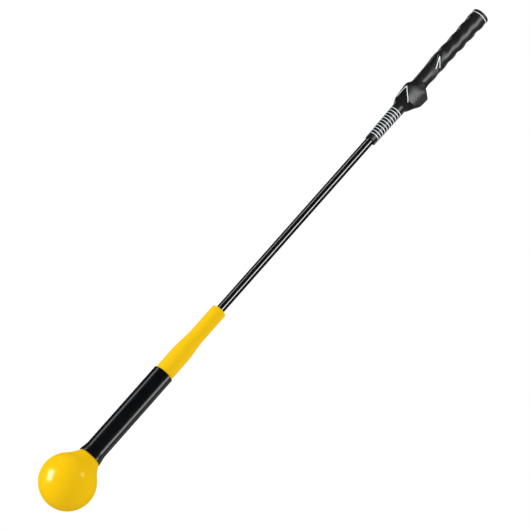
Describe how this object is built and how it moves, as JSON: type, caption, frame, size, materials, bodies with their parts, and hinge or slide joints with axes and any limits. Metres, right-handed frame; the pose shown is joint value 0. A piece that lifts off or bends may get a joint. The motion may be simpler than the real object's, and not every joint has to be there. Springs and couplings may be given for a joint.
{
  "type": "swing trainer stick",
  "caption": "Flexible golf swing trainer stick: moulded training grip, black glass-fibre rod, yellow sleeve, black neck tube and a weighted yellow ball.",
  "frame": {"origin": "lowest point of the ball, on the stick's axis", "axes": "+Z along the stick from the ball to the grip's end cap; -Y is the front, where the grip's thumb facets and white marks lie; +X is to the right seen from the front"},
  "size_m": [0.0856, 0.0856, 1.016],
  "materials": {
    "grip_rubber": "satin moulded rubber with white painted rings and marks",
    "cap_rubber": "matte moulded rubber",
    "tape": "matte double-sided paper tape",
    "rod_lacquer": "gloss black lacquered glass-fibre rod",
    "sleeve_yellow": "satin moulded soft plastic",
    "tube_black": "gloss shrunk tube",
    "ball_yellow": "gloss moulded soft plastic",
    "steel": "plain turned steel"
  },
  "bodies": {
    "grip": {"grip_sleeve": "grip_rubber", "grip_end_cap": "cap_rubber", "grip_tape": "tape"},
    "rod": {"flex_rod": "rod_lacquer"},
    "head": {"tapered_sleeve": "sleeve_yellow", "neck_tube": "tube_black", "stiffener_tube": "steel", "ball_cover": "ball_yellow", "ball_weight": "steel", "weight_pin": "steel"}
  },
  "joints": [
    {"name": "rod_flex_sideways", "type": "hinge", "parent": "grip", "child": "rod", "pos_m": [0, 0, 0.65325], "axis": [0, 1, 0], "range_deg": [-14, 14], "stiffness_Nm_per_rad": 165, "deforming": ["flex_rod"]},
    {"name": "rod_flex_fore_aft", "type": "hinge", "parent": "rod", "child": "head", "pos_m": [0, 0, 0.47575], "axis": [1, 0, 0], "range_deg": [-14, 14], "stiffness_Nm_per_rad": 165, "deforming": ["flex_rod"]}
  ]
}
